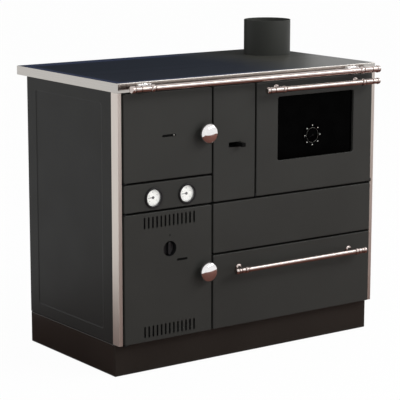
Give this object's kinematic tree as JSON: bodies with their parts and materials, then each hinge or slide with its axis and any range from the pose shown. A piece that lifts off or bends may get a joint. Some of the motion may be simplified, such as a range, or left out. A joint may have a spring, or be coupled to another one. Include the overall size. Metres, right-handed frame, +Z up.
{
  "type": "wood-burning cookstove",
  "caption": "Floor-standing solid-fuel range cooker with a smooth hob in a steel frame, chrome rails, a firebox, an ash door, an oven with a window and a storage drawer.",
  "frame": {"origin": "floor level under the middle of the overall box, from the handles' fronts to the worktop's back edge", "axes": "+Z up, +X to the right as seen from the front, the front with its doors and handles faces -Y"},
  "size_m": [0.95, 0.6163, 0.961],
  "materials": {
    "front_paint": "satin anthracite powder coat on pressed steel",
    "side_paint": "satin anthracite powder coat on pressed steel",
    "plinth_paint": "semi-gloss black enamel paint",
    "stainless": "folded stainless sheet with a fine brushed grain",
    "chrome": "polished chrome plate",
    "hob": "dark polished cooking plate",
    "black_steel": "matt black heat-resistant paint on steel plate",
    "cast_iron": "as-cast grey iron",
    "galvanised": "zinc-coated sheet",
    "enamel": "dark vitreous enamel",
    "zinc_steel": "zinc-plated steel",
    "black_plastic": "moulded black plastic",
    "dial_white": "white printed dial sheet",
    "gauge_glass": "clear flat cover",
    "oven_glass": "dark heat-resistant glass",
    "rope_seal": "braided glass-fibre rope"
  },
  "bodies": {
    "stove": {"plinth": "plinth_paint", "base_plate": "black_steel", "side_panel_left": "side_paint", "side_panel_right": "side_paint", "back_panel": "black_steel", "corner_profile_left": "stainless", "corner_profile_right": "stainless", "top_frame": "stainless", "hob_plate": "hob", "flue_pipe": "front_paint", "smoke_duct": "black_steel", "front_frame": "black_steel", "firebox_boiler": "black_steel", "fire_grate": "cast_iron", "ash_chamber": "black_steel", "ash_pan": "galvanised", "oven_liner": "enamel", "oven_rack": "chrome", "guard_rail": "chrome", "rail_bracket_left": "chrome", "rail_bracket_right": "chrome", "control_panel": "front_paint", "gauge_case_left": "black_plastic", "gauge_case_right": "black_plastic", "gauge_dial_left": "dial_white", "gauge_dial_right": "dial_white", "gauge_glass_left": "gauge_glass", "gauge_glass_right": "gauge_glass", "narrow_panel": "front_paint", "cleaning_panel": "front_paint", "drawer_runner_left": "zinc_steel", "drawer_runner_right": "zinc_steel", "oven_hinge_left": "zinc_steel", "oven_hinge_right": "zinc_steel"},
    "gauge_needle_left": {"gauge_needle_left": "black_plastic"},
    "gauge_needle_right": {"gauge_needle_right": "black_plastic"},
    "firebox_door": {"firebox_door": "front_paint", "firebox_door_liner": "cast_iron", "firebox_door_seal": "rope_seal"},
    "firebox_air_slider": {"firebox_air_slider": "black_steel"},
    "firebox_knob": {"firebox_knob": "chrome", "firebox_latch": "zinc_steel"},
    "ash_door": {"ash_door": "front_paint", "ash_door_liner": "black_steel"},
    "ash_air_slider": {"ash_air_slider": "black_steel"},
    "ash_knob": {"ash_knob": "chrome", "ash_latch": "zinc_steel"},
    "regulator": {"regulator_knob": "black_plastic", "regulator_rosette": "zinc_steel"},
    "oven_door": {"oven_door": "front_paint", "oven_door_frame": "enamel", "oven_glass": "oven_glass", "oven_thermometer": "black_plastic", "oven_handle": "chrome"},
    "oven_needle": {"oven_needle": "zinc_steel"},
    "damper_lever": {"damper_lever": "black_steel"},
    "drawer": {"drawer_front": "front_paint", "drawer_box": "galvanised", "drawer_handle": "chrome"}
  },
  "joints": [
    {"name": "firebox_door_hinge", "type": "hinge", "parent": "stove", "child": "firebox_door", "pos_m": [-0.4545, -0.25425, 0.6925], "axis": [0, 0, -1], "range_deg": [0, 115]},
    {"name": "firebox_air", "type": "slide", "parent": "firebox_door", "child": "firebox_air_slider", "axis": [-1, 0, 0], "range_m": [0, 0.03]},
    {"name": "firebox_knob_turn", "type": "hinge", "parent": "firebox_door", "child": "firebox_knob", "pos_m": [-0.179, -0.25775, 0.688], "axis": [0, -1, 0], "range_deg": [0, 90]},
    {"name": "ash_door_hinge", "type": "hinge", "parent": "stove", "child": "ash_door", "pos_m": [-0.4545, -0.25425, 0.28575], "axis": [0, 0, -1], "range_deg": [0, 115]},
    {"name": "ash_air", "type": "slide", "parent": "ash_door", "child": "ash_air_slider", "axis": [-1, 0, 0], "range_m": [0, 0.024]},
    {"name": "ash_knob_turn", "type": "hinge", "parent": "ash_door", "child": "ash_knob", "pos_m": [-0.179, -0.25775, 0.28], "axis": [0, -1, 0], "range_deg": [0, 90]},
    {"name": "regulator_turn", "type": "hinge", "parent": "ash_door", "child": "regulator", "pos_m": [-0.303, -0.25775, 0.362], "axis": [0, 1, 0], "range_deg": [0, 45]},
    {"name": "oven_door_hinge", "type": "hinge", "parent": "stove", "child": "oven_door", "pos_m": [0.2338, -0.25425, 0.4845], "axis": [1, 0, 0], "range_deg": [0, 90]},
    {"name": "oven_needle_turn", "type": "hinge", "parent": "oven_door", "child": "oven_needle", "pos_m": [0.228, -0.25125, 0.645], "axis": [0, 1, 0], "range_deg": [-20, 250]},
    {"name": "damper_slide", "type": "slide", "parent": "stove", "child": "damper_lever", "axis": [-1, 0, 0], "range_m": [0, 0.029]},
    {"name": "drawer_slide", "type": "slide", "parent": "stove", "child": "drawer", "axis": [0, -1, 0], "range_m": [0, 0.38]},
    {"name": "gauge_left_turn", "type": "hinge", "parent": "stove", "child": "gauge_needle_left", "pos_m": [-0.359, -0.2555, 0.517], "axis": [0, 1, 0], "range_deg": [-45, 225]},
    {"name": "gauge_right_turn", "type": "hinge", "parent": "stove", "child": "gauge_needle_right", "pos_m": [-0.243, -0.2555, 0.517], "axis": [0, 1, 0], "range_deg": [-45, 225]}
  ]
}
